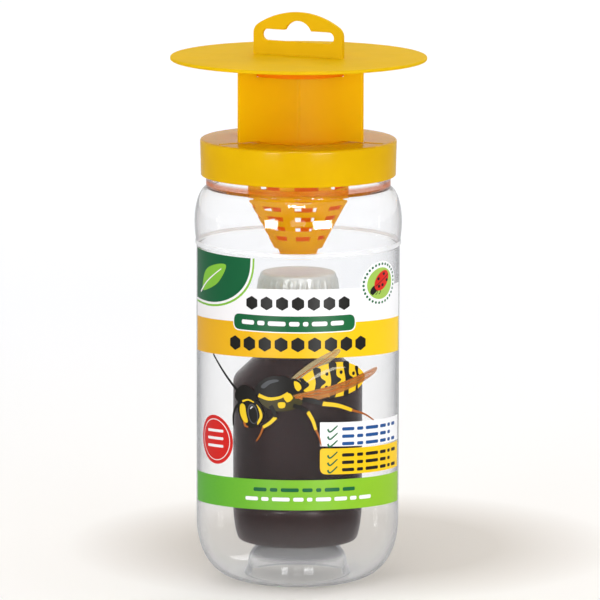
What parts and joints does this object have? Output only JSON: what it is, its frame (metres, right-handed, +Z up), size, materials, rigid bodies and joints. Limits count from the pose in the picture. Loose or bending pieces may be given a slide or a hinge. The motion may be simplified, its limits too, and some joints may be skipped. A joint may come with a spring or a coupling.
{
  "type": "wasp trap",
  "caption": "Clear hanging jar with a screw-on lid, a slotted entrance funnel, three vanes under a round rain roof, a hanging tab and a bait bottle inside.",
  "frame": {"origin": "centre of the jar's standing ring, on the surface that the trap stands on", "axes": "+Z up along the jar's centre line; -Y is the labelled front; +X is to the right of someone looking at the label"},
  "size_m": [0.1138, 0.1138, 0.2539],
  "materials": {
    "clear_pet": "clear blown plastic, polished",
    "label_film": "printed clear film",
    "seal_foam": "soft white foam",
    "gold_cap": "satin moulded golden yellow",
    "gold_clear": "slightly see-through moulded golden yellow",
    "bottle_plastic": "clear blown plastic",
    "bait": "dark brown liquid",
    "foil": "bright foil",
    "closure_plastic": "milky see-through moulded plastic"
  },
  "bodies": {
    "jar": {"jar": "clear_pet", "jar_label": "label_film"},
    "lid_seal": {"lid_seal_ring": "seal_foam"},
    "cap": {"screw_cap": "gold_cap"},
    "basket": {"entrance_basket": "gold_clear"},
    "vanes": {"vane_insert": "gold_clear"},
    "roof": {"rain_roof": "gold_clear"},
    "bottle": {"bait_bottle": "bottle_plastic", "bait_liquid": "bait", "foil_seal": "foil"},
    "wad": {"closure_wad": "seal_foam"},
    "closure": {"bottle_closure": "closure_plastic"}
  },
  "joints": [
    {"name": "lid_rise", "type": "slide", "parent": "jar", "child": "lid_seal", "axis": [0, 0, 1], "range_m": [0, 0.00508]},
    {"name": "cap_turn", "type": "hinge", "parent": "lid_seal", "child": "cap", "pos_m": [0, 0, 0.19], "axis": [0, 0, 1], "range_deg": [0, 360]},
    {"name": "basket_lift", "type": "slide", "parent": "cap", "child": "basket", "axis": [0, 0, 1], "range_m": [0, 0.06]},
    {"name": "vanes_lift", "type": "slide", "parent": "basket", "child": "vanes", "axis": [0, 0, 1], "range_m": [0, 0.03]},
    {"name": "roof_lift", "type": "slide", "parent": "vanes", "child": "roof", "axis": [0, 0, 1], "range_m": [0, 0.02]},
    {"name": "bottle_lift", "type": "slide", "parent": "jar", "child": "bottle", "axis": [0, 0, 1], "range_m": [0, 0.0039]},
    {"name": "closure_rise", "type": "slide", "parent": "bottle", "child": "wad", "axis": [0, 0, 1], "range_m": [0, 0.0032]},
    {"name": "closure_turn", "type": "hinge", "parent": "wad", "child": "closure", "pos_m": [0, 0, 0.13], "axis": [0, 0, 1], "range_deg": [0, 360]}
  ],
  "couplings": [
    {"joint": "lid_rise", "follows": "cap_turn", "m_per_rad": 0.00080851},
    {"joint": "closure_rise", "follows": "closure_turn", "m_per_rad": 0.0005093}
  ]
}
